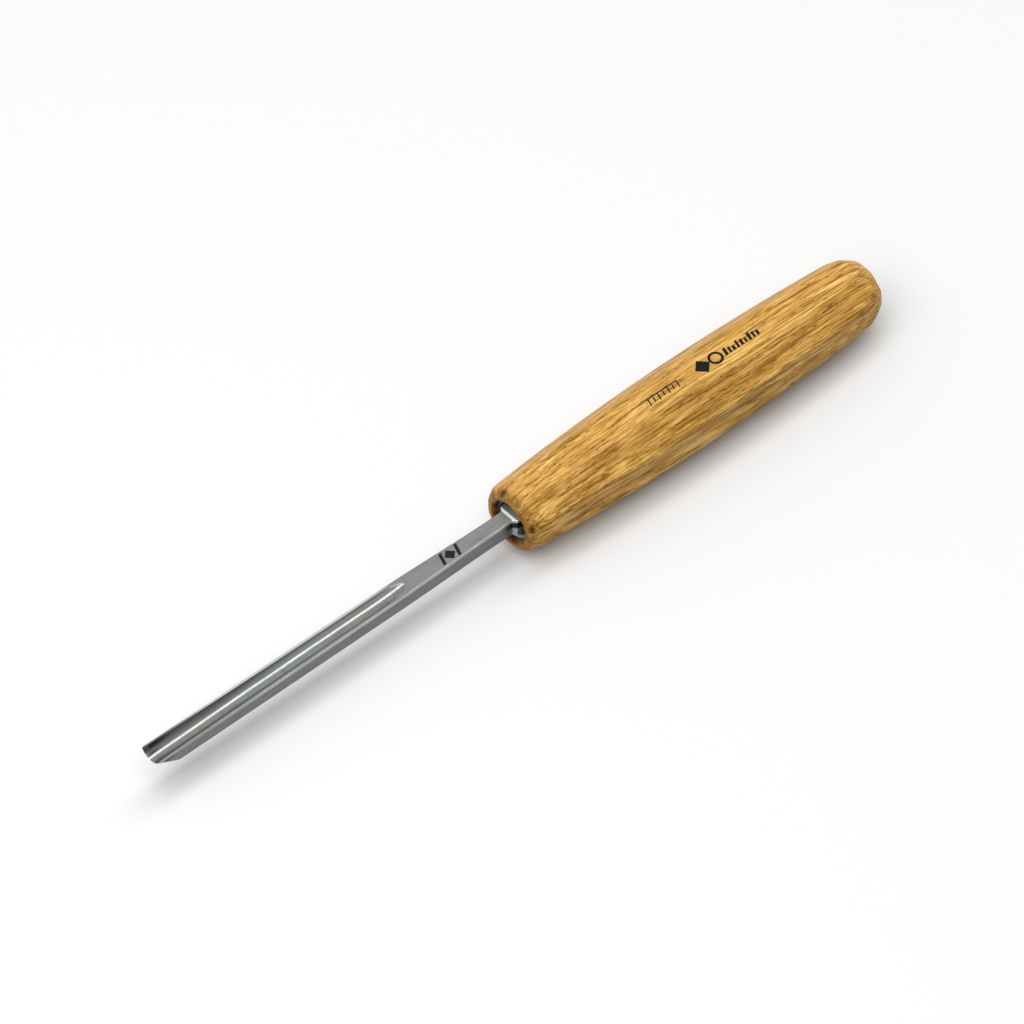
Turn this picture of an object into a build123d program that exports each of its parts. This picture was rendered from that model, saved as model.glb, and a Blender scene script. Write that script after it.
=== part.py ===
from build123d import *
from math import acos, cos, radians, sin, tan
import os

# A long-handled wood-carving tool in three pieces: an octagonal, barrel-shaped wooden handle, a steel
# ferrule pressed inside the handle's front end, and a forged blade whose tang is driven into the wood.
# The tool's axis is X. The handle's butt stands at X = 0, the cutting edge points along +X and the
# blade's flute opens along +Z.

# ---- driving dimensions, mm ----
HANDLE_LENGTH = 122.0
BLADE_REACH = 118.3          # from the handle's front face to the cutting edge

HANDLE_BELLY = 21.9          # across flats at the thickest place
BELLY_FROM_FRONT = 60.0      # where that place is
HANDLE_FRONT = 17.5          # across flats at the front face, before it is rounded
HANDLE_BUTT = 17.6           # across flats at the butt, before it is rounded
FRONT_ROUND = 2.0
BUTT_ROUND = 4.2
FACET_SOFTENING = 0.9        # radius along the eight long edges
NOSE_LENGTH = 5.0            # the eight corners are rounded away over this length at the front
NOSE_REACH = 9.9             # radius of that rounding where it starts, clear of the corners
NOSE_RADIUS = 7.8            # and at the front face
HEEL_LENGTH = 10.0           # the same three sizes at the butt
HEEL_REACH = 10.3
HEEL_RADIUS = 6.6
MOUTH_ROUND = 0.9            # radius round the mouth of the ferrule's hole

FERRULE_DIAMETER = 11.4
FERRULE_WALL = 1.0
FERRULE_LENGTH = 7.0
FERRULE_RECESS = 1.2         # how far the ring lies inside the front face

BOLSTER_CLEARANCE = 0.1      # all round, between the bolster disc and the ring
BOLSTER_RECESS = 2.4
BOLSTER_THICKNESS = 2.5
COLLAR_WIDTH = 6.8           # the square collar in front of the disc
COLLAR_HEIGHT = 6.2
COLLAR_RECESS = 2.0
FLARE_LENGTH = 3.4           # from the collar's rim to the plain shank

TANG_LENGTH = 55.0
TANG_ROOT = 5.0              # side of the square
TANG_POINT = 2.6
TANG_END_ROOM = 2.0          # the hole goes this much deeper than the tang

SHANK_WIDTH = 4.3
SHANK_HEIGHT = 5.25
SHANK_LENGTH = 5.0           # the stretch with parallel sides, in front of the handle
MID_FROM_EDGE = 80.0         # where the blade reaches its working section
MID_WIDTH = 5.75
MID_HEIGHT = 4.7
EDGE_WIDTH = 6.95
EDGE_HEIGHT = 3.9
TOP_DROP = 0.26              # the top face falls this much towards the cutting edge
LOWER_EDGE_SOFTENING = 0.35

FLUTE_RADIUS = 3.3
FLUTE_LENGTH = 73.3          # the flute's floor sinks on one long curve, from here to the edge
FLUTE_DEPTH_AT_BACK = 0.9    # where that curve starts, level with the top face
FLUTE_DEPTH_AT_EDGE = 1.9
FLUTE_RUNOUT_RADIUS = 62.0   # behind it the floor curves up out of the steel on this radius
BEVEL_ANGLE = 22.0
EDGE_THICKNESS = 0.06        # what is left at the cutting edge

# ---- places that follow from them ----
front_x = HANDLE_LENGTH
edge_x = HANDLE_LENGTH + BLADE_REACH
mid_x = edge_x - MID_FROM_EDGE
flute_x = edge_x - FLUTE_LENGTH
belly_x = front_x - BELLY_FROM_FRONT
seat_x = front_x - BOLSTER_RECESS - BOLSTER_THICKNESS
collar_x = front_x - COLLAR_RECESS
shank_x = collar_x + FLARE_LENGTH
shank_end_x = front_x + SHANK_LENGTH
ferrule_bore = FERRULE_DIAMETER - 2 * FERRULE_WALL
bolster_diameter = ferrule_bore - 2 * BOLSTER_CLEARANCE
# Both fillets of the front face share the wood between the ferrule's hole and the facets.
front_wall = (HANDLE_FRONT - FERRULE_DIAMETER) / 2
front_round = min(FRONT_ROUND, 0.66 * front_wall)
mouth_round = min(MOUTH_ROUND, 0.3 * front_wall)
top_slope = TOP_DROP / BLADE_REACH


def top_z(x):
    """Height of the blade's top face, which falls evenly from the handle to the edge."""
    return SHANK_HEIGHT / 2 - top_slope * (x - front_x)


def across(x):
    """A plane square to the tool's axis, with its own x along Y and its own y along Z."""
    return Plane.YZ.offset(x)


def tang_side(depth):
    """Side of the tang's square, at a depth behind the bolster: it tapers evenly to its point."""
    return TANG_ROOT - (TANG_ROOT - TANG_POINT) * depth / TANG_LENGTH


# ---- handle: eight barrelled facets, each half-profile turned about the axis ----
with BuildPart() as handle:
    for turn in (0, 45, 90, 135):
        with BuildSketch(Plane.XZ.rotated((turn, 0, 0))) as silhouette:
            with BuildLine():
                fore = TangentArc((belly_x, HANDLE_BELLY / 2), (front_x, HANDLE_FRONT / 2), tangent=(1, 0))
                aft = TangentArc((belly_x, HANDLE_BELLY / 2), (0, HANDLE_BUTT / 2), tangent=(-1, 0))
                Polyline(fore @ 1, (front_x, 0), (0, 0), aft @ 1)
            make_face()
            mirror(about=Plane.XZ)
            fillet(silhouette.vertices().group_by(Axis.X)[-1], radius=front_round)
            fillet(silhouette.vertices().group_by(Axis.X)[0], radius=BUTT_ROUND)
        extrude(amount=HANDLE_BELLY, both=True, mode=Mode.ADD if turn == 0 else Mode.INTERSECT)
    # Both ends are turned, so the long edges run out into a round nose and a round heel.
    with BuildSketch(Plane.XY):
        with BuildLine():
            heel = TangentArc((HEEL_LENGTH, HEEL_REACH), (0, HEEL_RADIUS), tangent=(-1, 0))
            nose = TangentArc((front_x - NOSE_LENGTH, NOSE_REACH), (front_x, NOSE_RADIUS), tangent=(1, 0))
            Polyline(heel @ 0, (HEEL_LENGTH, HANDLE_BELLY), (front_x - NOSE_LENGTH, HANDLE_BELLY), nose @ 0)
            Polyline(heel @ 1, (0, 0), (front_x, 0), nose @ 1)
        make_face()
    revolve(axis=Axis.X, mode=Mode.INTERSECT)
    long_edges = handle.edges().filter_by(lambda edge: edge.length > HANDLE_LENGTH / 4)
    fillet(long_edges, radius=FACET_SOFTENING)
    # The bolster's recess, and the ring-shaped groove around the core that the bolster seats on.
    with BuildSketch(across(front_x)):
        Circle(FERRULE_DIAMETER / 2)
    extrude(amount=-(front_x - seat_x), mode=Mode.SUBTRACT)
    with BuildSketch(across(front_x)):
        Circle(FERRULE_DIAMETER / 2)
        Circle(ferrule_bore / 2, mode=Mode.SUBTRACT)
    extrude(amount=-(FERRULE_RECESS + FERRULE_LENGTH), mode=Mode.SUBTRACT)
    front_face = handle.faces().filter_by(Axis.X).sort_by(Axis.X)[-1]
    fillet(front_face.inner_wires()[0].edges(), radius=mouth_round)
    # The hole that the tang is driven into grips its four sides and stops short of its point.
    hole_depth = TANG_LENGTH + TANG_END_ROOM
    with BuildSketch(across(seat_x)):
        Rectangle(TANG_ROOT, TANG_ROOT)
    with BuildSketch(across(seat_x - hole_depth)):
        Rectangle(tang_side(hole_depth), tang_side(hole_depth))
    loft(mode=Mode.SUBTRACT)
handle.part.label = "handle"

# ---- ferrule: a plain steel ring, chamfered at the mouth ----
with BuildPart() as ferrule:
    with BuildSketch(across(front_x - FERRULE_RECESS)):
        Circle(FERRULE_DIAMETER / 2)
        Circle(ferrule_bore / 2, mode=Mode.SUBTRACT)
    extrude(amount=-FERRULE_LENGTH)
    mouth = ferrule.faces().sort_by(Axis.X)[-1].edges().sort_by(SortBy.RADIUS)[0]
    chamfer(mouth, length=FERRULE_WALL / 3)
ferrule.part.label = "ferrule"

# ---- blade: fluted working end, square shank, collar, bolster disc and tang, forged in one ----
with BuildPart() as blade:
    # Side outline: parallel shank, then the underside sweeps up to the thinner working section.
    with BuildSketch(Plane.XZ):
        with BuildLine():
            under_shank = Line((shank_x, -SHANK_HEIGHT / 2), (shank_end_x, -SHANK_HEIGHT / 2))
            under_mid = (mid_x, top_z(mid_x) - MID_HEIGHT)
            under_edge = (edge_x, top_z(edge_x) - EDGE_HEIGHT)
            rise = Vector(*under_edge) - Vector(*under_mid)
            Spline(under_shank @ 1, under_mid, tangents=[(1, 0), rise.normalized()])
            Polyline(under_mid, under_edge, (edge_x, top_z(edge_x)), (shank_x, top_z(shank_x)),
                     under_shank @ 0)
        make_face()
    extrude(amount=EDGE_WIDTH, both=True)
    # Plan outline: parallel shank, then the sides spread gently to the cutting edge.
    with BuildSketch(Plane.XY) as plan:
        with BuildLine():
            side_shank = Line((shank_x, SHANK_WIDTH / 2), (shank_end_x, SHANK_WIDTH / 2))
            side_mid = (mid_x, MID_WIDTH / 2)
            side_edge = (edge_x, EDGE_WIDTH / 2)
            spread = Vector(*side_edge) - Vector(*side_mid)
            Spline(side_shank @ 1, side_mid, tangents=[(1, 0), spread.normalized()])
            Polyline(side_mid, side_edge, (edge_x, 0), (shank_x, 0), side_shank @ 0)
        make_face()
        mirror(about=Plane.XZ)
    extrude(amount=SHANK_HEIGHT, both=True, mode=Mode.INTERSECT)
    underside = blade.edges().filter_by(lambda edge: edge.center().Z < 0)
    lower_edges = underside.filter_by(lambda edge: edge.length > 2 * SHANK_WIDTH)
    fillet(lower_edges, radius=LOWER_EDGE_SOFTENING)
    # Flute: a round cutter rises from the edge on a long curve, then climbs out of the top face.
    cutter_back = Vector(flute_x, 0, top_z(flute_x) - FLUTE_DEPTH_AT_BACK + FLUTE_RADIUS)
    cutter_edge = Vector(edge_x, 0, top_z(edge_x) - FLUTE_DEPTH_AT_EDGE + FLUTE_RADIUS)
    up_blade = Vector(-1, 0, top_slope).normalized()
    chord = (cutter_back - cutter_edge).normalized()
    leaving = chord * (2 * chord.dot(up_blade)) - up_blade
    lift = up_blade.rotate(Axis.Y, 90)
    climb = acos(1 - 2 * FLUTE_DEPTH_AT_BACK / FLUTE_RUNOUT_RADIUS)
    run = up_blade * sin(climb) + lift * (1 - cos(climb))
    with BuildLine() as cutter_path:
        Line(cutter_edge - leaving * FLUTE_RADIUS, cutter_edge)
        TangentArc(cutter_edge, cutter_back, tangent=leaving)
        TangentArc(cutter_back, cutter_back + run * FLUTE_RUNOUT_RADIUS, tangent=up_blade)
    with BuildSketch(Plane(origin=cutter_path.line @ 0, z_dir=cutter_path.line % 0)):
        Circle(FLUTE_RADIUS)
    sweep(path=cutter_path.line, mode=Mode.SUBTRACT)
    # Outside bevel: a cone on the flute's own axis, so that the edge is equally thin all round.
    bevel_axis = Plane(origin=cutter_edge, x_dir=leaving, z_dir=(0, -1, 0))
    edge_radius = FLUTE_RADIUS + EDGE_THICKNESS
    cone_length = BLADE_REACH + FLUTE_RADIUS
    with BuildSketch(bevel_axis):
        with BuildLine():
            Polyline(
                (0, 0),
                (0, edge_radius),
                (cone_length, edge_radius + cone_length * tan(radians(BEVEL_ANGLE))),
                (cone_length, 0),
                close=True,
            )
        make_face()
    revolve(axis=Axis(cutter_edge, leaving), mode=Mode.INTERSECT)
    # The shank flares to a square collar that stands in the handle's mouth.
    with BuildSketch(across(shank_x)):
        with Locations((0, (top_z(shank_x) - SHANK_HEIGHT / 2) / 2)):
            Rectangle(SHANK_WIDTH, top_z(shank_x) + SHANK_HEIGHT / 2)
    with BuildSketch(across(collar_x)):
        Rectangle(COLLAR_WIDTH, COLLAR_HEIGHT)
    loft()
    with BuildSketch(across(collar_x)):
        Rectangle(COLLAR_WIDTH, COLLAR_HEIGHT)
    extrude(amount=-(BOLSTER_RECESS - COLLAR_RECESS))
    with BuildSketch(across(seat_x)):
        Circle(bolster_diameter / 2)
    extrude(amount=BOLSTER_THICKNESS)
    with BuildSketch(across(seat_x)):
        Rectangle(TANG_ROOT, TANG_ROOT)
    with BuildSketch(across(seat_x - TANG_LENGTH)):
        Rectangle(TANG_POINT, TANG_POINT)
    loft()
blade.part.label = "blade"

# ---- each piece to its own file ----
os.makedirs("parts", exist_ok=True)
export_step(handle.part, "parts/handle.step")
export_step(ferrule.part, "parts/ferrule.step")
export_step(blade.part, "parts/blade.step")
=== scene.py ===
import bpy
import numpy as np
from bpy.props import FloatProperty, FloatVectorProperty, PointerProperty
from mathutils import Matrix, Vector


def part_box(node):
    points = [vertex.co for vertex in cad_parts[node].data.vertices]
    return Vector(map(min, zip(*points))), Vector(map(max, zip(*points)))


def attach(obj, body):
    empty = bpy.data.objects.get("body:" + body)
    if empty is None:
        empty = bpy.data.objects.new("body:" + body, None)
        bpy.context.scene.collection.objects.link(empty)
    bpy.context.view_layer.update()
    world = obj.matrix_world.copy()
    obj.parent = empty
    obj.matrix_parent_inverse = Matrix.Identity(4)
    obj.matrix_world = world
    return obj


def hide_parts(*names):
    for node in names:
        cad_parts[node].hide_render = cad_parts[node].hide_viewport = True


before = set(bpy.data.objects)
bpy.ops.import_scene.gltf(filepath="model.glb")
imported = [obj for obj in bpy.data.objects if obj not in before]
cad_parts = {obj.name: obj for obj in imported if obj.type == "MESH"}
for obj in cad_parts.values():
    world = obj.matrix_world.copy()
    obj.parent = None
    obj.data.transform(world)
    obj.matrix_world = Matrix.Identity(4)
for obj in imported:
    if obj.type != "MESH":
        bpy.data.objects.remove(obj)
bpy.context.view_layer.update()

bl_info = {
    "name": "Carving Tool Maker",
    "version": (1, 0, 0),
    "blender": (4, 5, 0),
    "location": "3D View > Sidebar > Carving Tool",
    "description": "Makes a long-handled wood-carving tool around its fixed frame",
    "category": "Add Mesh",
}

MM = 0.001
BUTT, FRONT = (corner.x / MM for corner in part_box("handle"))
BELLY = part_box("handle")[1].z / MM
TANG_END, EDGE = (corner.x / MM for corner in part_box("blade"))
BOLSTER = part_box("blade")[1].z / MM
RING_BACK, RING_FRONT = (corner.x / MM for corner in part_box("ferrule"))
RING_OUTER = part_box("ferrule")[1].z / MM
RING_INNER = RING_OUTER - 1.0

# Places and half sizes of the forging, in millimetres.
SEAT_X = FRONT - 4.9         # the back of the bolster disc, which seats on the wood
DISC_X = FRONT - 2.4         # and its front
COLLAR_X = FRONT - 2.0       # the front of the square collar
SHANK_X = FRONT + 1.4        # where the flare has become the plain shank
COLLAR_HALF = (3.40, 3.10)
TANG_HALF = 2.5
EDGE_HALF = 3.475
EDGE_STEEL = 0.05            # what is left at the cutting edge
BEVEL_ANGLE = 22.0
BEVEL_STEPS = 12
FINE_FROM_EDGE = 8.0         # the rows of the mesh lie closer together over this stretch

# The hole that the tang is driven into.
HOLE_DEPTH = 57.0
HOLE_END_HALF = 1.256


def length(text, description, millimetres):
    """A length that the user may change, given here in millimetres and kept in metres."""
    return FloatProperty(name=text, description=description, default=millimetres * MM, unit="LENGTH", precision=5)


def colour(text, description, value):
    """A colour that the user may change."""
    return FloatVectorProperty(name=text, description=description, default=value, subtype="COLOR", size=3,
                               min=0.0, max=1.0)


# ---------------------------------------------------------------------------------------------- settings


class HandleSettings(bpy.types.PropertyGroup):
    """Sizes and colours of the octagonal wooden handle."""

    belly_from_front: length("Belly from front", "Where the handle is thickest", 60.0)
    front_half: length("Front half width", "Half the width across flats at the front", 8.75)
    butt_half: length("Butt half width", "Half the width across flats at the butt", 8.8)
    front_round: length("Front rounding", "Radius at the front of each facet", 2.0)
    butt_round: length("Butt rounding", "Radius at the butt of each facet", 4.2)
    arris_round: length("Arris rounding", "Radius along the eight long edges", 0.9)
    nose_length: length("Nose length", "Stretch over which the corners round away at the front", 5.0)
    nose_reach: length("Nose reach", "Radius where that stretch starts", 9.9)
    nose_radius: length("Nose radius", "Radius at the front face", 7.8)
    heel_length: length("Heel length", "Stretch over which the corners round away at the butt", 10.0)
    heel_reach: length("Heel reach", "Radius where that stretch starts", 10.3)
    heel_radius: length("Heel radius", "Radius at the butt", 6.6)
    mouth_round: length("Mouth rounding", "Radius round the mouth of the ferrule's recess", 0.9)
    straw: colour("Straw", "Palest late wood", (0.65, 0.408, 0.125))
    pale_wood: colour("Pale wood", "Late wood under clear lacquer", (0.455, 0.245, 0.046))
    dark_wood: colour("Dark wood", "Open-pored early wood", (0.165, 0.066, 0.007))
    amber: colour("Amber", "Thick lacquer on end grain", (0.14, 0.053, 0.003))
    ink: colour("Ink", "Printed marks", (0.004, 0.004, 0.004))
    ring_spacing: length("Ring spacing", "Width of one year's growth", 1.45)


class BladeSettings(bpy.types.PropertyGroup):
    """Sizes and colours of the forged blade."""

    shank_half: length("Shank half width", "Half the width of the square shank", 2.15)
    shank_top: length("Shank top", "Height of the top face at the handle", 2.625)
    top_drop: length("Top drop", "How far the top face falls to the cutting edge", 0.26)
    shank_end: length("Shank length", "Stretch of parallel shank in front of the handle", 5.0)
    mid_from_edge: length("Working length", "Stretch of full section behind the edge", 80.0)
    mid_half: length("Middle half width", "Half the width where the full section starts", 2.875)
    mid_height: length("Middle height", "Height where the full section starts", 4.7)
    edge_height: length("Edge height", "Height of the section just behind the bevel", 3.9)
    flute_length: length("Flute length", "Stretch over which the flute sinks on one long curve", 73.3)
    flute_radius: length("Flute radius", "Radius of the round-bottomed flute", 3.3)
    flute_back: length("Flute depth at back", "Depth where that curve starts", 0.9)
    flute_edge: length("Flute depth at edge", "Depth at the cutting edge", 1.9)
    runout: length("Run-out radius", "Radius on which the flute climbs out", 62.0)
    honing: length("Honing", "How far the flute opens out at the cutting edge", 0.14)
    honed: length("Honed length", "Stretch over which it opens out", 1.8)
    crisp: length("Top edge rounding", "Radius of the two long top edges", 0.15)
    soft: length("Lower edge rounding", "Radius of the two long lower edges", 0.35)
    steel: colour("Steel", "Ground tool steel", (0.296, 0.304, 0.297))


class StageSettings(bpy.types.PropertyGroup):
    """Camera, floor and lights."""

    azimuth: FloatProperty(name="Azimuth", description="Direction of the camera round the tool",
                           default=np.radians(138.3), subtype="ANGLE")
    elevation: FloatProperty(name="Elevation", description="Height of the camera above the horizon",
                             default=np.radians(48.6), subtype="ANGLE")
    distance: length("Distance", "From the aim to the camera", 3000.0)
    view_width: length("View width", "Width of the picture at the aim", 257.3)
    aim: FloatVectorProperty(name="Aim", description="Point in the middle of the picture", subtype="XYZ",
                             default=(0.1196, -0.00134, 0.000885), unit="LENGTH")
    floor: colour("Floor", "Plain pale floor", (0.59, 0.59, 0.59))


# ---------------------------------------------------------------------------------------------- shader maths


class Surface:
    """A material's node tree, with one method that adds any node."""

    def __init__(self, name):
        self.material = bpy.data.materials.new(name)
        self.material.use_nodes = True
        self.tree = self.material.node_tree
        self.shader = self.tree.nodes["Principled BSDF"]

    def node(self, kind, settings=None, inputs=None):
        """Adds a node of a kind, sets its settings, then gives its sockets their values or links."""
        made = self.tree.nodes.new("ShaderNode" + kind)
        for name, value in (settings or {}).items():
            setattr(made, name, value)
        for name, value in (inputs or {}).items():
            self.feed(made.inputs[name], value)
        return made

    def feed(self, socket, value):
        """Links a field or a socket to a socket, or sets its value."""
        if isinstance(value, Field):
            self.tree.links.new(value.socket, socket)
        elif isinstance(value, bpy.types.NodeSocket):
            self.tree.links.new(value, socket)
        else:
            socket.default_value = value

    def place(self):
        """Object coordinates in millimetres, as a vector."""
        made = self.node("TexCoord").outputs["Object"]
        return self.vector("SCALE", made, {"Scale": 1 / MM})

    def vector(self, operation, first, inputs):
        """Vector Math with its first vector linked."""
        return self.node("VectorMath", {"operation": operation}, {0: first, **inputs}).outputs[0]

    def split(self, vector):
        """The three parts of a vector, as fields."""
        made = self.node("SeparateXYZ", inputs={0: vector})
        return [Field(self, socket) for socket in made.outputs]

    def join(self, x, y, z):
        """A vector from three fields or numbers."""
        return self.node("CombineXYZ", inputs={0: x, 1: y, 2: z}).outputs[0]

    def noise(self, vector, grain, detail=2.0, roughness=0.5, distortion=0.0):
        """Noise whose grains are so many millimetres long along x, y and z: 0 to 1, about 0.5 on average."""
        inputs = {"Vector": self.vector("DIVIDE", vector, {1: grain}), "Scale": 1.0, "Detail": detail,
                  "Roughness": roughness, "Distortion": distortion}
        return Field(self, self.node("TexNoise", inputs=inputs).outputs[0])

    def mix(self, first, second, factor):
        """From the first colour to the second as the factor goes from 0 to 1."""
        made = self.node("Mix", {"data_type": "RGBA", "clamp_factor": True}, {0: factor})
        for socket, value in ((made.inputs[6], first), (made.inputs[7], second)):
            self.feed(socket, value if isinstance(value, bpy.types.NodeSocket) else (*value, 1.0))
        return made.outputs[2]

    def bump(self, height, distance, strength=1.0, under=None):
        """A normal bent by a height field, whose full height is so many millimetres, on top of another one."""
        inputs = {"Height": height, "Distance": distance * MM, "Strength": strength}
        if under is not None:
            inputs["Normal"] = under
        return self.node("Bump", inputs=inputs).outputs[0]

    def finish(self, constants, varying):
        """Sets the shader's plain values, then feeds the sockets that change over the surface."""
        for name, value in constants.items():
            self.shader.inputs[name].default_value = value
        for name, value in varying.items():
            self.feed(self.shader.inputs[name], value)
        return self.material


class Field:
    """A number that changes over the surface. Python's operators on it add the Math nodes that work it out."""

    def __init__(self, surface, socket):
        self.surface = surface
        self.socket = socket

    def maths(self, operation, *values):
        """A Math node on fields or numbers, as a new field."""
        made = self.surface.node("Math", {"operation": operation}, dict(enumerate(values)))
        return Field(self.surface, made.outputs[0])

    def __add__(self, other):
        return self.maths("ADD", self, other)

    def __sub__(self, other):
        return self.maths("SUBTRACT", self, other)

    def __rsub__(self, other):
        return self.maths("SUBTRACT", other, self)

    def __mul__(self, other):
        return self.maths("MULTIPLY", self, other)

    def __truediv__(self, other):
        return self.maths("DIVIDE", self, other)

    def __pow__(self, other):
        return self.maths("POWER", self, other)

    def __abs__(self):
        return self.maths("ABSOLUTE", self)

    def root(self):
        return self.maths("SQRT", self)

    def fraction(self):
        return self.maths("FRACT", self)

    def least(self, other):
        return self.maths("MINIMUM", self, other)

    def most(self, other):
        return self.maths("MAXIMUM", self, other)

    def rise(self, low, high):
        """0 below low, 1 above high, and a smooth step between them; falls instead where low is above high."""
        settings = {"interpolation_type": "SMOOTHSTEP"}
        inputs = {0: self, 1: low, 2: high}
        return Field(self.surface, self.surface.node("MapRange", settings, inputs).outputs[0])

    __radd__ = __add__
    __rmul__ = __mul__


def bar(u, v, centre, half, blur=0.06):
    """1 inside an upright rectangle given by its centre and half sizes, with a slightly soft border."""
    across = abs(u - centre[0]) - half[0]
    along = abs(v - centre[1]) - half[1]
    return across.most(along).rise(blur, -blur)


def diamond(u, v, centre, half, blur=0.06):
    """1 inside a square stood on its corner, from the sum of the two distances to its centre."""
    return (abs(u - centre[0]) + abs(v - centre[1]) - half).rise(blur, -blur)


def hoop(u, v, centre, radius, width, blur=0.06):
    """1 on the line of a circle, from the distance to its centre."""
    away = ((u - centre[0]) ** 2 + (v - centre[1]) ** 2).root()
    return (abs(away - radius) - width / 2).rise(blur, -blur)


# ---------------------------------------------------------------------------------------------- materials


def printed_marks(x, y, z):
    """Generic ink marks on the top facet: leaning bars, a circle and a diamond, then a ruled gauge."""
    u = x - FRONT
    v = y - 0.7
    leaning = u - 0.25 * v
    mark = diamond(u, v, (-65.1, 0.0), 2.5).most(hoop(u, v, (-69.6, 0.0), 1.75, 0.75))
    for step in range(9):
        half = (0.46 - 0.08 * (step % 2), 1.25 - 0.25 * (step % 3))
        mark = mark.most(bar(leaning, v, (-72.9 - 1.35 * step, 0.2 * (step % 3)), half))
    mark = mark.most(bar(u, v, (-51.8, -0.95), (5.2, 0.2)))
    for step in range(7):
        mark = mark.most(bar(leaning, v, (-47.0 - 1.6 * step, 0.15), (0.2, 1.15 - 0.35 * (step % 2))))
    return mark * z.rise(7.0, 8.0)


def lacquered_wood(settings):
    """Open-grained straight wood under clear lacquer. Rings are nested tubes round a pith beside the handle,
    drawn out along it; each ring fades from pale late wood into dark early wood, which carries the pores.
    The fibres lean a little against the handle, so they run on along the top but break up on the sides."""
    surface = Surface("lacquered_wood")
    place = surface.place()
    x, y, z = surface.split(place)
    wander = surface.noise(place, (34.0, 9.0, 9.0), 2.0) - 0.5
    run = surface.join(x, y + 1.8 * wander, z - 0.045 * x + 1.8 * wander)
    spacing = settings.ring_spacing / MM
    pith_y = y + 40.0 + 4.5 * wander
    pith_z = z + 34.0 - 0.035 * x
    ring = ((pith_y ** 2.0 + pith_z ** 2.0).root() / spacing).fraction()
    early = ring.rise(0.30, 0.80) * ring.rise(1.0, 0.86)
    bands = surface.noise(run, (30.0, 2.6, 2.6), 3.0, 0.6).rise(0.40, 0.62)
    fibre = surface.noise(run, (15.0, 0.42, 0.75), 3.0, 0.65)
    threads = surface.noise(run, (26.0, 1.1, 1.5), 2.0, 0.5)
    flecks = surface.noise(run, (2.6, 0.32, 0.32), 1.0)
    mottle = surface.noise(place, (3.0, 1.4, 1.4), 2.0, 0.6)
    shade = 0.66 * fibre.rise(0.48, 0.66) + 0.46 * early * bands + 0.22 * threads.rise(0.52, 0.66)
    shade = shade + flecks.rise(0.54, 0.66) * (0.20 + 0.5 * bands) + 0.4 * (mottle - 0.5)
    shade = shade * (1.0 - 0.6 * x.rise(4.0, 1.0))
    light = fibre.rise(0.53, 0.36) * (0.55 + 0.6 * threads.rise(0.56, 0.40))
    timber = surface.mix(settings.pale_wood, settings.straw, light)
    timber = surface.mix(timber, settings.dark_wood, shade.least(0.95).most(0.0))
    ends = x.rise(FRONT - 3.2, FRONT - 0.5).most(x.rise(1.6, 0.0) * 0.4)
    timber = surface.mix(timber, settings.amber, ends * (0.45 + 1.6 * (mottle - 0.42)))
    # Painted shade: the wood round the ferrule's mouth is darkened to near black brown, as if the recess shaded it.
    mouth = (y ** 2.0 + z ** 2.0).root().rise(7.2, 6.1)
    timber = surface.mix(timber, (0.050, 0.018, 0.002), mouth * (0.75 + 1.2 * (mottle - 0.5)))
    for spot_y, spot_z in ((-2.8, 8.1), (8.1, 3.3)):
        away = ((x - (FRONT - 0.8)) ** 2.0 + (y - spot_y) ** 2.0 + (z - spot_z) ** 2.0).root()
        away = away + 2.6 * (mottle - 0.5) + 1.6 * (flecks - 0.5)
        timber = surface.mix(timber, (0.030, 0.010, 0.001), away.rise(1.45, 0.45) * 0.92)
    ink = printed_marks(x, y, z)
    timber = surface.mix(timber, settings.ink, ink)
    constants = {"Specular IOR Level": 0.10, "Coat Roughness": 0.28}
    varying = {"Base Color": timber, "Roughness": 0.46 + 0.16 * fibre, "Coat Weight": 0.09 - 0.09 * ink,
               "Normal": surface.bump(fibre * 0.5 - 0.5 * flecks.rise(0.55, 0.68), 0.05, 0.5)}
    return surface.finish(constants, varying)


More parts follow.
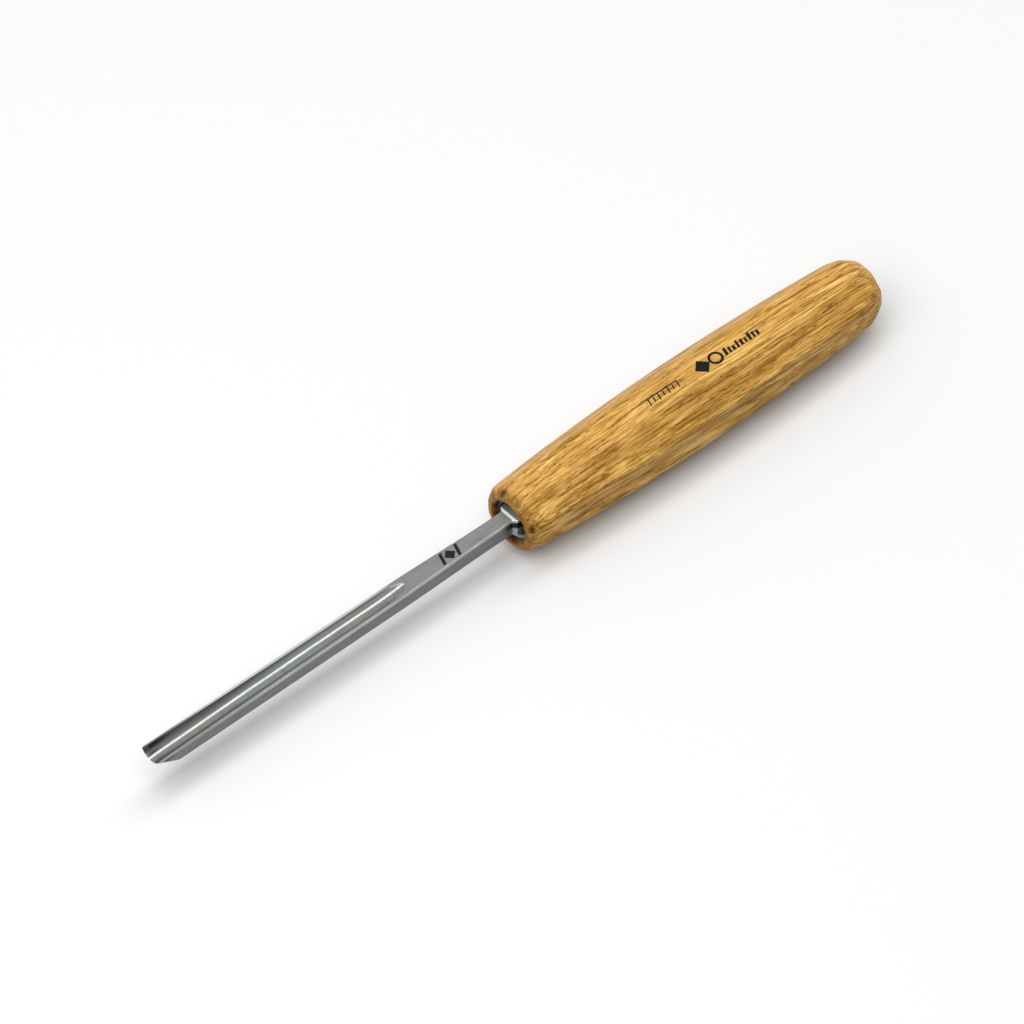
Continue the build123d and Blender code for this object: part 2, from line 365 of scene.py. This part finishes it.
def ground_steel(name, settings, brightness, roughness, hatch, wave, kind="plain"):
    """Tool steel with fine grinding lines: hatch gives the grain's size along x, y and z in millimetres. Slow
    waves left by the wheel bend the surface a little, and wave gives their height in millimetres. The kind is
    plain, top (with the etched mark, painted light near the handle and a painted highlight along the far lip),
    edge (painted light near the handle, dulled by painted shade towards the cutting edge), flute (with a painted
    reflection along its far wall, and painted shade and painted reflections near the cutting edge), side (with
    painted light and painted shade near the handle and a painted dark reflection near the cutting edge) or ring
    (with painted shade on its far side)."""
    surface = Surface(name)
    place = surface.place()
    x, y, z = surface.split(place)
    lines = surface.noise(place, hatch, 3.0, 0.65)
    cloud = surface.noise(place, (7.0, 1.6, 1.6), 3.0, 0.6)
    waves = surface.noise(place, (11.0, 4.0, 4.0), 1.0)
    tints = surface.noise(place, (16.0, 3.0, 3.0), 1.0)
    base = tuple(channel * brightness for channel in settings.steel)
    dull = tuple(channel * 0.62 for channel in base)
    tone = surface.mix(base, dull, lines.rise(0.35, 0.75) * 0.5 + cloud.rise(0.4, 0.75) * 0.4)
    cool = (base[0] * 0.94, base[1] * 0.99, base[2] * 1.08)
    warm = (base[0] * 1.03, base[1] * 1.00, base[2] * 0.92)
    tone = surface.mix(tone, cool, tints.rise(0.54, 0.66) * 0.5)
    tone = surface.mix(tone, warm, tints.rise(0.46, 0.34) * 0.5)
    rough = roughness + 0.10 * (lines - 0.5) + 0.08 * (cloud - 0.5)
    if kind == "flute":
        # Painted reflection: a paler band along the flute's far wall, fading out 20 mm short of the cutting edge.
        pale = y.rise(-1.1, -1.5) * y.rise(-2.6, -1.9) * x.rise(EDGE - 20.0, EDGE - 60.0)
        tone = surface.mix(tone, (0.42, 0.43, 0.42), pale * 0.8)
        # Painted shade: a near black patch high on the flute's far wall, a few millimetres behind the cutting edge.
        wall = y.rise(-1.9, -2.5) * x.rise(EDGE - 10.0, EDGE - 3.5)
        tone = surface.mix(tone, (0.035, 0.040, 0.045), wall * x.rise(EDGE - 1.2, EDGE - 1.9) * 0.85)
        # Painted dark reflection: a dark line on the flute's far side over its last few millimetres.
        line = y.rise(-1.7, -1.4) * y.rise(-0.9, -1.15) * x.rise(EDGE - 5.0, EDGE - 2.0)
        tone = surface.mix(tone, (0.06, 0.065, 0.07), line * 0.8)
        # Painted reflection: a bluish grey tint on the flute's far side at the honed cutting edge.
        tone = surface.mix(tone, (0.20, 0.22, 0.26), y.rise(-1.2, -1.8) * x.rise(EDGE - 1.9, EDGE - 1.2))
    if kind in ("top", "edge"):
        # Painted light: the top is lightened close to the handle, and inside the recess the collar's top is painted
        # almost white.
        inside = x.rise(FRONT + 3.6, FRONT + 1.0)
        tone = surface.mix(tone, (0.50, 0.51, 0.50), inside * (0.5 + 0.7 * cloud))
        tone = surface.mix(tone, (0.92, 0.93, 0.93), x.rise(FRONT - 0.2, FRONT - 0.7))
        rough = rough + 0.14 * inside
    if kind == "side":
        # Painted light: a paler bluish grey, in patches, on the sides in and just in front of the handle's recess.
        tone = surface.mix(tone, (0.44, 0.46, 0.49), x.rise(FRONT + 1.6, FRONT - 0.2) * cloud.rise(0.25, 0.55))
        # Painted shade: near black on the upper sides below the flare, where shade falls under the top edge, and a
        # painted dark reflection on the upper sides near the cutting edge.
        painted_side_shade = x.rise(FRONT - 2.35, FRONT - 2.2) * x.rise(FRONT + 3.4, FRONT + 0.8) * z.rise(-0.5, 0.5)
        painted_side_shade = painted_side_shade.most(z.rise(0.9, 1.5) * x.rise(EDGE - 7.0, EDGE - 3.0) * 0.95)
        tone = surface.mix(tone, (0.022, 0.022, 0.021), painted_side_shade)
    if kind == "ring":
        # Painted shade: the ring's far side is darkened to near black.
        tone = surface.mix(tone, (0.030, 0.029, 0.028), (y - 0.3 * z).rise(3.4, -1.0) * 0.9)
    if kind == "top":
        # Painted highlight: a pale line along the far lip of the top face, away from both ends.
        wear_and_highlight = y.rise(-2.1, -2.4) * x.rise(FRONT + 34.0, FRONT + 46.0) * x.rise(EDGE - 6.0, EDGE - 22.0)
        tone = surface.mix(tone, (0.56, 0.57, 0.56), wear_and_highlight)
        etched = etched_mark(x, y, z)
        tone = surface.mix(tone, (0.018, 0.019, 0.018), etched)
        rough = rough + 0.25 * etched
    if kind == "edge":
        # Painted shade: towards the cutting edge the bright edge is dulled.
        tone = surface.mix(tone, dull, x.rise(EDGE - 46.0, EDGE - 8.0) * 0.9)
    grain = surface.bump(lines, 0.008, 0.7)
    varying = {"Base Color": tone, "Roughness": rough, "Normal": surface.bump(waves, wave, 1.0, grain)}
    return surface.finish({"Metallic": 1.0}, varying)


def etched_mark(x, y, z):
    """A generic dark device on top of the shank: a diamond between two slanting bars."""
    u = x - (FRONT + 19.6)
    slanting = u - 0.35 * y
    mark = diamond(u, y, (0.0, 0.0), 1.75, 0.12)
    mark = mark.most(bar(slanting, y, (-2.5, 0.0), (0.5, 1.85), 0.12))
    mark = mark.most(bar(slanting, y, (2.5, 0.0), (0.5, 1.85), 0.12))
    return mark * z.rise(1.8, 2.2)


# ---------------------------------------------------------------------------------------------- surfaces


def skin(name, rows, materials, finishes=0, ring=False):
    """A tube of quads through rows of points (rows, lanes, 3), in millimetres. A flat face closes each end, or
    in a ring the last row joins the first. finishes gives the material's number for each row and lane."""
    count, lanes = rows.shape[:2]
    index = np.arange(count * lanes).reshape(count, lanes)
    caps = [] if ring else [index[0][::-1].tolist(), index[-1].tolist()]
    if ring:
        index = np.concatenate([index, index[:1]])
    turned = np.roll(index, -1, axis=1)
    quads = np.stack([index[:-1], turned[:-1], turned[1:], index[1:]], axis=-1).reshape(-1, 4)
    mesh = bpy.data.meshes.new(name)
    mesh.from_pydata(rows.reshape(-1, 3) * MM, [], quads.tolist() + caps)
    for material in materials:
        mesh.materials.append(material)
    spread = np.broadcast_to(finishes, (len(index) - 1, lanes)).reshape(-1)
    numbers = np.concatenate([spread, np.full(len(caps), spread[0])]).astype(np.int32)
    mesh.polygons.foreach_set("material_index", numbers)
    mesh.shade_smooth()
    mesh.set_sharp_from_angle(angle=np.radians(32.0))
    mesh.update()
    piece = bpy.data.objects.new(name, mesh)
    bpy.context.scene.collection.objects.link(piece)
    return piece


def join_frame(piece, node):
    """Fixes a finished piece to the frame, in place of its plain node."""
    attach(piece, "root")
    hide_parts(node)


def arc(centre, radius, start, end, steps):
    """Points (x, r) of a circular arc: the centre plus the radius times cosine and sine of an angle in degrees."""
    angle = np.radians(np.linspace(start, end, steps))
    return np.stack([centre[0] + radius * np.cos(angle), centre[1] + radius * np.sin(angle)], axis=-1)


def octagon_lanes(flat_steps, corner_steps):
    """Corner and normal vectors (y, z) of a softened octagon whose flats lie one unit from the middle.
    A point of the outline is (half width - radius) * corner + radius * normal, with the corner constant and the
    normal turning round each arris, and the normal constant and the corner sliding along each flat."""
    reach = 1 / np.cos(np.pi / 8)
    corners, normals = [], []
    for facet in range(8):
        face = facet * np.pi / 4
        turn = face + np.pi / 8
        following = turn + np.pi / 4
        angles = np.linspace(face, face + np.pi / 4, corner_steps)
        corner = reach * np.array([np.sin(turn), np.cos(turn)])
        after = reach * np.array([np.sin(following), np.cos(following)])
        corners.append(np.tile(corner, (corner_steps, 1)))
        normals.append(np.stack([np.sin(angles), np.cos(angles)], axis=-1))
        slide = np.linspace(0, 1, flat_steps + 1, endpoint=False)[1:, None]
        corners.append(corner + slide * (after - corner))
        normals.append(np.tile(normals[-1][-1], (flat_steps, 1)))
    return np.concatenate(corners), np.concatenate(normals)


def turned_end(depth, run, reach, radius):
    """Radius of a turned end at a depth behind its face: a circular arc from the radius at the face up to the
    reach, which it meets level at the end of its run. No limit lies further in."""
    sag = reach - radius
    bow = (run ** 2 + sag ** 2) / (2 * sag)
    arc_radius = reach - bow + np.sqrt(np.maximum(bow ** 2 - (run - depth) ** 2, 0))
    return np.where(depth < run, arc_radius, np.inf)


def handle_rows(settings):
    """The handle's skin: a half profile (x, half width) carried round the softened octagon, then in over the
    front face to the round mouth, down the ferrule's recess and back along the tang's square hole."""
    front_half, butt_half = settings.front_half / MM, settings.butt_half / MM
    front_round, butt_round = settings.front_round / MM, settings.butt_round / MM
    arris, mouth_round = settings.arris_round / MM, settings.mouth_round / MM
    belly_x = FRONT - settings.belly_from_front / MM
    corner, normal = octagon_lanes(14, 7)

    heel_x, nose_x = 14.0, FRONT - 7.0
    x = np.concatenate([np.linspace(butt_round, heel_x, 24)[:-1], np.linspace(heel_x, nose_x, 76)[:-1],
                        np.linspace(nose_x, FRONT - front_round, 16)])
    end_half = np.where(x > belly_x, front_half, butt_half)
    end_run = np.where(x > belly_x, FRONT - belly_x, belly_x)
    sag = BELLY - end_half
    bow = (end_run ** 2 + sag ** 2) / (2 * sag)
    half = BELLY - bow + np.sqrt(bow ** 2 - (x - belly_x) ** 2)
    barrel = np.stack([x, half], axis=-1)
    butt = arc((butt_round, half[0] - butt_round), butt_round, 180, 90, 14)[:-1]
    front = arc((FRONT - front_round, half[-1] - front_round), front_round, 90, 0, 12)[1:]
    middle = np.stack([np.full(5, BUTT), np.linspace(0.6, butt[0][1], 6)[:-1]], axis=-1)
    outside = np.concatenate([middle, butt, barrel, front])
    reach = outside[:, 1, None, None]
    radius = np.minimum(arris, reach * 0.5)
    octagons = (reach - radius) * corner + radius * normal
    limit = np.minimum(
        turned_end(outside[:, 0], settings.heel_length / MM, settings.heel_reach / MM, settings.heel_radius / MM),
        turned_end(FRONT - outside[:, 0], settings.nose_length / MM, settings.nose_reach / MM,
                   settings.nose_radius / MM),
    )
    spread = np.linalg.norm(octagons, axis=-1, keepdims=True)
    octagons = octagons * np.minimum(1.0, limit[:, None, None] / spread)

    lane = octagons[-1] / np.linalg.norm(octagons[-1], axis=-1, keepdims=True)
    blend = np.linspace(0, 1, 8)[1:, None, None]
    lip = RING_OUTER + mouth_round
    face = octagons[-1] + blend * (lip * lane - octagons[-1])
    rim = arc((FRONT - mouth_round, lip), mouth_round, 0, -90, 6)[1:]
    seat_ring = 3.9
    inside = np.array([(RING_BACK, RING_OUTER), (RING_BACK, RING_INNER), (SEAT_X, RING_INNER), (SEAT_X, seat_ring)])
    circles = np.concatenate([rim, inside])
    square = lane / np.abs(lane).max(axis=-1, keepdims=True)
    hole = np.array([(SEAT_X, TANG_HALF), (SEAT_X - HOLE_DEPTH, HOLE_END_HALF)])
    along = np.concatenate([outside[:, 0], np.full(7, FRONT), circles[:, 0], hole[:, 0]])
    across = np.concatenate([octagons, face, circles[:, 1, None, None] * lane, hole[:, 1, None, None] * square])
    return np.concatenate([np.broadcast_to(along[:, None, None], (*across.shape[:2], 1)), across], axis=-1)


def ring_rows(lanes=96):
    """The ferrule: a rectangular section with chamfered corners, turned about the tool's axis."""
    cut, mouth_cut = 0.22, 0.33
    section = np.array([
        (RING_BACK, RING_INNER + cut), (RING_BACK, RING_OUTER - cut), (RING_BACK + cut, RING_OUTER),
        (RING_FRONT - cut, RING_OUTER), (RING_FRONT, RING_OUTER - cut), (RING_FRONT, RING_INNER + mouth_cut),
        (RING_FRONT - mouth_cut, RING_INNER), (RING_BACK + cut, RING_INNER),
    ])
    turn = np.linspace(0, 2 * np.pi, lanes, endpoint=False)[None, :, None]
    radius = section[:, 1, None, None]
    along = np.broadcast_to(section[:, 0, None, None], (len(section), lanes, 1))
    return np.concatenate([along, radius * np.sin(turn), radius * np.cos(turn)], axis=-1)


def ease(x, start, end, first, last, slope):
    """A cubic that leaves first level at start and reaches last at end with the given slope; constant before
    start and straight beyond end."""
    s = np.clip((x - start) / (end - start), 0, 1)
    cubic = first * (2 * s ** 3 - 3 * s ** 2 + 1) + last * (3 * s ** 2 - 2 * s ** 3)
    cubic = cubic + slope * (end - start) * (s ** 3 - s ** 2)
    return cubic + slope * np.maximum(x - end, 0)


class BladeForm:
    """Heights and widths of the blade along its length, as functions of x in millimetres."""

    def __init__(self, settings):
        for name in ("shank_half", "shank_top", "top_drop", "mid_half", "mid_height", "edge_height",
                     "flute_radius", "flute_back", "flute_edge", "runout", "honing", "honed", "crisp", "soft"):
            setattr(self, name, getattr(settings, name) / MM)
        self.shank_end = FRONT + settings.shank_end / MM
        self.mid = EDGE - settings.mid_from_edge / MM
        self.flute_start = EDGE - settings.flute_length / MM
        self.axis = self.top(EDGE) - self.flute_edge + self.flute_radius
        scan = np.linspace(self.shank_end, self.flute_start, 2000)
        self.apex = np.interp(0, self.depth(scan), scan)

    def top(self, x):
        return self.shank_top - self.top_drop * (x - FRONT) / (EDGE - FRONT)

    def under(self, x):
        mid = self.top(self.mid) - self.mid_height
        slope = (self.top(EDGE) - self.edge_height - mid) / (EDGE - self.mid)
        return ease(x, self.shank_end, self.mid, -self.shank_top, mid, slope)

    def half(self, x):
        slope = (EDGE_HALF - self.mid_half) / (EDGE - self.mid)
        return ease(x, self.shank_end, self.mid, self.shank_half, self.mid_half, slope)

    def depth(self, x):
        """Depth of the flute's floor under the top face: a parabola down to the edge, and before it an arc."""
        along = (x - self.flute_start) / (EDGE - self.flute_start)
        sinking = self.flute_back + (self.flute_edge - self.flute_back) * np.maximum(along, 0) ** 2
        climb = np.maximum(self.flute_start - x, 0)
        return sinking - self.runout + np.sqrt(self.runout ** 2 - climb ** 2) + self.opening(x)

    def opening(self, x):
        """How much wider than its own radius the honed flute is, growing with the square of the distance."""
        return self.honing * np.clip((x - EDGE + self.honed) / self.honed, 0, 1) ** 2

    def chord(self, x):
        """Half the flute's width at the top face, from its depth and radius."""
        radius = self.flute_radius + self.opening(x)
        sunk = np.clip(self.depth(x), 0, radius)
        return np.maximum(np.sqrt(radius ** 2 - (radius - sunk) ** 2), 0.02)


LANES = {"far_edge": 5, "far_lip": 4, "flute": 37, "near_lip": 4, "near_edge": 5, "near_side": 7,
         "near_low": 6, "under": 13, "far_low": 6, "far_side": 7}


def section(form, x):
    """The blade's outline (rows, lanes, 2) as y and z: over the far top edge, across the flute, down the near
    side and back underneath. Each part holds the number of lanes that LANES gives it."""
    x = x[:, None]
    half, top, under, chord = form.half(x), form.top(x), form.under(x), form.chord(x)
    crisp, soft, radius = form.crisp, form.soft, form.flute_radius + form.opening(x)

    def corner(y, z, size, start, end, steps):
        angle = np.radians(np.linspace(start, end, steps))
        return np.stack([y + size * np.cos(angle), z + size * np.sin(angle)], axis=-1)

    def straight(start, end, steps):
        inner = np.linspace(0, 1, steps + 2)[1:-1]
        y = start[0] + (end[0] - start[0]) * inner
        z = start[1] + (end[1] - start[1]) * inner
        return np.stack(np.broadcast_arrays(y, z), axis=-1)

    swing = np.arcsin(chord / radius) * np.linspace(-1, 1, LANES["flute"])
    axis = top + np.sqrt(radius ** 2 - chord ** 2)
    flute = np.stack([radius * np.sin(swing), axis - radius * np.cos(swing)], axis=-1)
    parts = [
        corner(-half + crisp, top - crisp, crisp, 180, 90, LANES["far_edge"]),
        straight((-half + crisp, top), (-chord, top), LANES["far_lip"]),
        flute,
        straight((chord, top), (half - crisp, top), LANES["near_lip"]),
        corner(half - crisp, top - crisp, crisp, 90, 0, LANES["near_edge"]),
        straight((half, top - crisp), (half, under + soft), LANES["near_side"]),
        corner(half - soft, under + soft, soft, 0, -90, LANES["near_low"]),
        straight((half - soft, under), (-half + soft, under), LANES["under"]),
        corner(-half + soft, under + soft, soft, -90, -180, LANES["far_low"]),
        straight((-half, under + soft), (-half, top - crisp), LANES["far_side"]),
    ]
    return np.concatenate(parts, axis=1)


def blade_rows(form):
    """The whole forging as rows of one outline: tang, bolster disc, collar and flare as squares and circles on
    the same lanes, then the blade's own sections, then the bevel's rulings to the cutting edge."""
    shank = section(form, np.array([SHANK_X]))[0]
    lane = shank / np.linalg.norm(shank, axis=-1, keepdims=True)
    square = lane / np.abs(lane).max(axis=-1, keepdims=True)
    collar = shank / np.array([form.shank_half, form.shank_top]) * np.array(COLLAR_HALF)
    disc, worn_disc, wear_and_highlight = BOLSTER * lane, (BOLSTER - 0.2) * lane, 0.2
    rear = [(TANG_END, 0.9 * square), (TANG_END + 0.5, 1.3 * square), (SEAT_X, TANG_HALF * square),
            (SEAT_X, worn_disc), (SEAT_X + wear_and_highlight, disc), (DISC_X - wear_and_highlight, disc), (DISC_X, worn_disc),
            (DISC_X, collar), (COLLAR_X, collar)]
    for step in np.linspace(0, 1, 18)[1:-1]:
        size = 0.3 * (1 - step) + 0.35 * (1 - np.tanh((step - 0.62) / 0.06))
        rear.append((COLLAR_X + (SHANK_X - COLLAR_X) * step, shank + size * (collar - shank)))
    rear_x = np.array([place for place, _ in rear])
    rear_rows = with_x(rear_x[:, None], np.stack([outline for _, outline in rear]))

    spread = np.linspace(0, 1, 46)
    fine_x = EDGE - FINE_FROM_EDGE
    body_x = np.concatenate([
        np.linspace(SHANK_X, form.shank_end, 8), np.linspace(form.shank_end, form.apex, 20)[1:-1],
        form.apex + (form.flute_start - form.apex) * spread ** 2,
        np.linspace(form.flute_start, fine_x, 40)[1:-1],
    ])
    body_rows = with_x(body_x[:, None], section(form, body_x))

    # Where each lane meets the bevel's cone, whose radius shrinks evenly towards the edge.
    slope = np.tan(np.radians(BEVEL_ANGLE))
    keen = form.flute_radius + form.honing + EDGE_STEEL
    ends = np.full(len(lane), EDGE - 1.0)
    for _ in range(4):
        points = section(form, ends)[np.arange(len(ends)), np.arange(len(ends))]
        away = np.hypot(points[:, 0], points[:, 1] - form.axis)
        ends = np.where(outer_lanes(), EDGE - np.maximum(away - keen, 0) / slope, ends)
    ends = np.where(outer_lanes(), ends, ends[: LANES["far_edge"]].max())
    settle = np.linspace(0, 1, 16)[:, None]
    nose_x = fine_x + (ends - fine_x) * settle
    nose_rows = with_x(nose_x, own_lanes(form, nose_x))

    # The bevel: outer lanes run straight to the rim of the cone, and the flute's lanes run on to the edge.
    last = nose_rows[-1]
    steps = np.linspace(0, 1, BEVEL_STEPS)[1:, None]
    run_x = last[:, 0] + (EDGE - last[:, 0]) * steps
    inner = own_lanes(form, run_x)
    turn = np.arctan2(last[:, 1], form.axis - last[:, 2])
    limit = np.arcsin(form.chord(np.array([EDGE]))[0] / (keen - EDGE_STEEL))
    turn = turn * limit / np.abs(turn[outer_lanes()]).max()
    rim = np.stack([keen * np.sin(turn), form.axis - keen * np.cos(turn)], axis=-1)
    ruled = last[:, 1:] + (rim - last[:, 1:]) * steps[..., None]
    across = np.where(outer_lanes()[:, None], ruled, inner)
    bevel_rows = with_x(run_x, across)
    return np.concatenate([rear_rows, body_rows, nose_rows[1:], bevel_rows])


def with_x(x, outline):
    """Outline points (rows, lanes, 2) with their place along the tool in front."""
    return np.concatenate([np.broadcast_to(x[..., None], (*outline.shape[:2], 1)), outline], axis=-1)


def own_lanes(form, x):
    """The blade's outline where every lane of every row has its own x."""
    lanes = x.shape[1]
    picked = section(form, x.reshape(-1)).reshape(*x.shape, lanes, 2)
    return picked[:, np.arange(lanes), np.arange(lanes)]


def outer_lanes():
    """True for the lanes outside the top lips and the flute, which the bevel cuts."""
    kinds = np.repeat(list(LANES), list(LANES.values()))
    return ~np.isin(kinds, ["far_lip", "flute", "near_lip"])


# ---------------------------------------------------------------------------------------------- operators


class MakeHandle(bpy.types.Operator):
    """Make the octagonal wooden handle"""

    bl_idname = "carving_tool.handle"
    bl_label = "Handle"

    def execute(self, context):
        settings = context.scene.carving_handle
        piece = skin("handle_wood", handle_rows(settings), [lacquered_wood(settings)])
        join_frame(piece, "handle")
        return {"FINISHED"}


class MakeFerrule(bpy.types.Operator):
    """Make the steel ring inside the handle's mouth"""

    bl_idname = "carving_tool.ferrule"
    bl_label = "Ferrule"

    def execute(self, context):
        steel = ground_steel("turned_steel", context.scene.carving_blade, 1.2, 0.34, (2.0, 0.3, 0.3), 0.01, "ring")
        piece = skin("ferrule_ring", ring_rows(), [steel], ring=True)
        join_frame(piece, "ferrule")
        return {"FINISHED"}


class MakeBlade(bpy.types.Operator):
    """Make the forged blade with its shank, collar and tang"""

    bl_idname = "carving_tool.blade"
    bl_label = "Blade"

    def execute(self, context):
        settings = context.scene.carving_blade
        form = BladeForm(settings)
        rows = blade_rows(form)
        steels = [
            ground_steel("ground_top", settings, 0.96, 0.24, (0.6, 2.2, 2.2), 0.01, "top"),
            ground_steel("polished_flute", settings, 0.96, 0.21, (0.6, 3.0, 3.0), 0.035, "flute"),
            # Rougher ground sides and underside, with painted shade: a copy of the steel at under two thirds of its
            # brightness.
            ground_steel("ground_side_painted_shade", settings, 0.64, 0.40, (0.9, 1.0, 0.6), 0.01, "side"),
            # Painted highlight: the near top edge is a copy of the steel at one and a half times its brightness.
            ground_steel("painted_highlight_edge", settings, 1.5, 0.28, (0.6, 2.2, 2.2), 0.01, "edge"),
            # Painted shade: the bevel is a copy of the steel at a tenth of its brightness.
            ground_steel("painted_shade_bevel", settings, 0.10, 0.22, (0.5, 2.0, 2.0), 0.01),
        ]
        kinds = np.repeat(list(LANES), list(LANES.values()))
        top = np.isin(kinds, ["far_edge", "far_lip", "flute", "near_lip"])
        fluted = (rows[:-1, :, 0].mean(axis=1) >= form.apex - 0.01)[:, None] & (kinds == "flute")
        ground, polished, shaded_side_steel, painted_highlight_edge, bevel = range(len(steels))
        sides = np.where(kinds == "near_edge", painted_highlight_edge, shaded_side_steel)
        finishes = np.where(fluted, polished, np.where(top, ground, sides))
        finishes[1 - BEVEL_STEPS:, outer_lanes()] = bevel
        piece = skin("forged_blade", rows, steels, finishes)
        join_frame(piece, "blade")
        return {"FINISHED"}


class MakeStage(bpy.types.Operator):
    """Set up the camera, the pale floor and the soft studio light"""

    bl_idname = "carving_tool.stage"
    bl_label = "Stage"

    def execute(self, context):
        settings = context.scene.carving_stage
        scene = context.scene
        scene.view_settings.view_transform = "Standard"
        set_camera(scene, settings)
        set_floor(settings)
        set_lights(scene)
        return {"FINISHED"}


def set_camera(scene, settings):
    """A long lens, level with the horizon, aimed at the tool's middle from the settings' direction."""
    data = bpy.data.cameras.new("camera")
    data.sensor_width = 36.0
    data.lens = data.sensor_width * settings.distance / settings.view_width
    data.clip_end = 20.0
    camera = bpy.data.objects.new("camera", data)
    scene.collection.objects.link(camera)
    level = np.cos(settings.elevation)
    back = Vector((np.sin(settings.azimuth) * level, -np.cos(settings.azimuth) * level, np.sin(settings.elevation)))
    camera.location = Vector(settings.aim) + back * settings.distance
    camera.rotation_euler = back.to_track_quat("Z", "Y").to_euler()
    scene.camera = camera


def set_floor(settings):
    """A large plain floor that the handle's belly rests on."""
    half = 3.0
    height = -BELLY * MM
    mesh = bpy.data.meshes.new("floor")
    mesh.from_pydata([(-half, -half, height), (half, -half, height), (half, half, height), (-half, half, height)],
                     [], [(0, 1, 2, 3)])
    surface = Surface("pale_floor")
    mesh.materials.append(surface.finish({"Base Color": (*settings.floor, 1.0), "Roughness": 0.9,
                                          "Specular IOR Level": 0.2}, {}))
    floor = bpy.data.objects.new("floor", mesh)
    bpy.context.scene.collection.objects.link(floor)


def set_lights(scene):
    """A pale sky that is brighter over the far side, and three soft boxes: a long one in line with the blade, a
    large one over the handle's end and a small one that catches the flare of the shank."""
    world = bpy.data.worlds.new("studio")
    scene.world = world
    world.use_nodes = True
    tree = world.node_tree
    shell = tree.nodes.new("ShaderNodeTexCoord")
    parts = tree.nodes.new("ShaderNodeSeparateXYZ")
    tree.links.new(shell.outputs["Generated"], parts.inputs[0])
    fade = tree.nodes.new("ShaderNodeMapRange")
    tree.links.new(parts.outputs[1], fade.inputs[0])
    for number, value in ((1, 0.85), (2, -0.25), (3, 0.24), (4, 0.90)):
        fade.inputs[number].default_value = value
    tree.links.new(fade.outputs[0], tree.nodes["Background"].inputs["Strength"])
    tree.nodes["Background"].inputs["Color"].default_value = (1.0, 1.0, 1.0, 1.0)
    soft_box("long_box", (2.2, 0.30), 6.8, (-0.44, -0.18, 0.88), 1.1)
    soft_box("large_box", (1.3, 1.3), 17.0, (0.45, 0.17, 0.87), 1.3)
    soft_box("small_box", (0.30, 0.20), 0.30, (0.55, -0.494, 0.67), 1.0)


def soft_box(name, size, power, direction, distance):
    """An area light facing the tool's middle, its long side along the tool as seen from below."""
    data = bpy.data.lights.new(name, "AREA")
    data.shape = "RECTANGLE"
    data.size, data.size_y = size
    data.energy = power
    box = bpy.data.objects.new(name, data)
    direction = Vector(direction).normalized()
    along = (Vector((1.0, 0.0, 0.0)) - direction * direction.x).normalized()
    box.location = Vector((0.12, 0.0, 0.0)) + direction * distance
    box.rotation_euler = Matrix((along, direction.cross(along), direction)).transposed().to_euler()
    bpy.context.scene.collection.objects.link(box)


class CarvingToolPanel(bpy.types.Panel):
    """Lists the pieces that can be made"""

    bl_idname = "VIEW3D_PT_carving_tool"
    bl_label = "Carving Tool"
    bl_space_type = "VIEW_3D"
    bl_region_type = "UI"
    bl_category = "Carving Tool"

    def draw(self, context):
        for operator in OPERATORS:
            self.layout.operator(operator.bl_idname)


SETTINGS = {"carving_handle": HandleSettings, "carving_blade": BladeSettings, "carving_stage": StageSettings}
OPERATORS = (MakeHandle, MakeFerrule, MakeBlade, MakeStage)


def register():
    for group in (*SETTINGS.values(), *OPERATORS, CarvingToolPanel):
        bpy.utils.register_class(group)
    for name, group in SETTINGS.items():
        setattr(bpy.types.Scene, name, PointerProperty(type=group))


def unregister():
    for name in SETTINGS:
        delattr(bpy.types.Scene, name)
    for group in reversed((*SETTINGS.values(), *OPERATORS, CarvingToolPanel)):
        bpy.utils.unregister_class(group)


def main():
    register()
    for operator in (bpy.ops.carving_tool.handle, bpy.ops.carving_tool.ferrule, bpy.ops.carving_tool.blade,
                     bpy.ops.carving_tool.stage):
        operator()


if __name__ == "__main__":
    main()
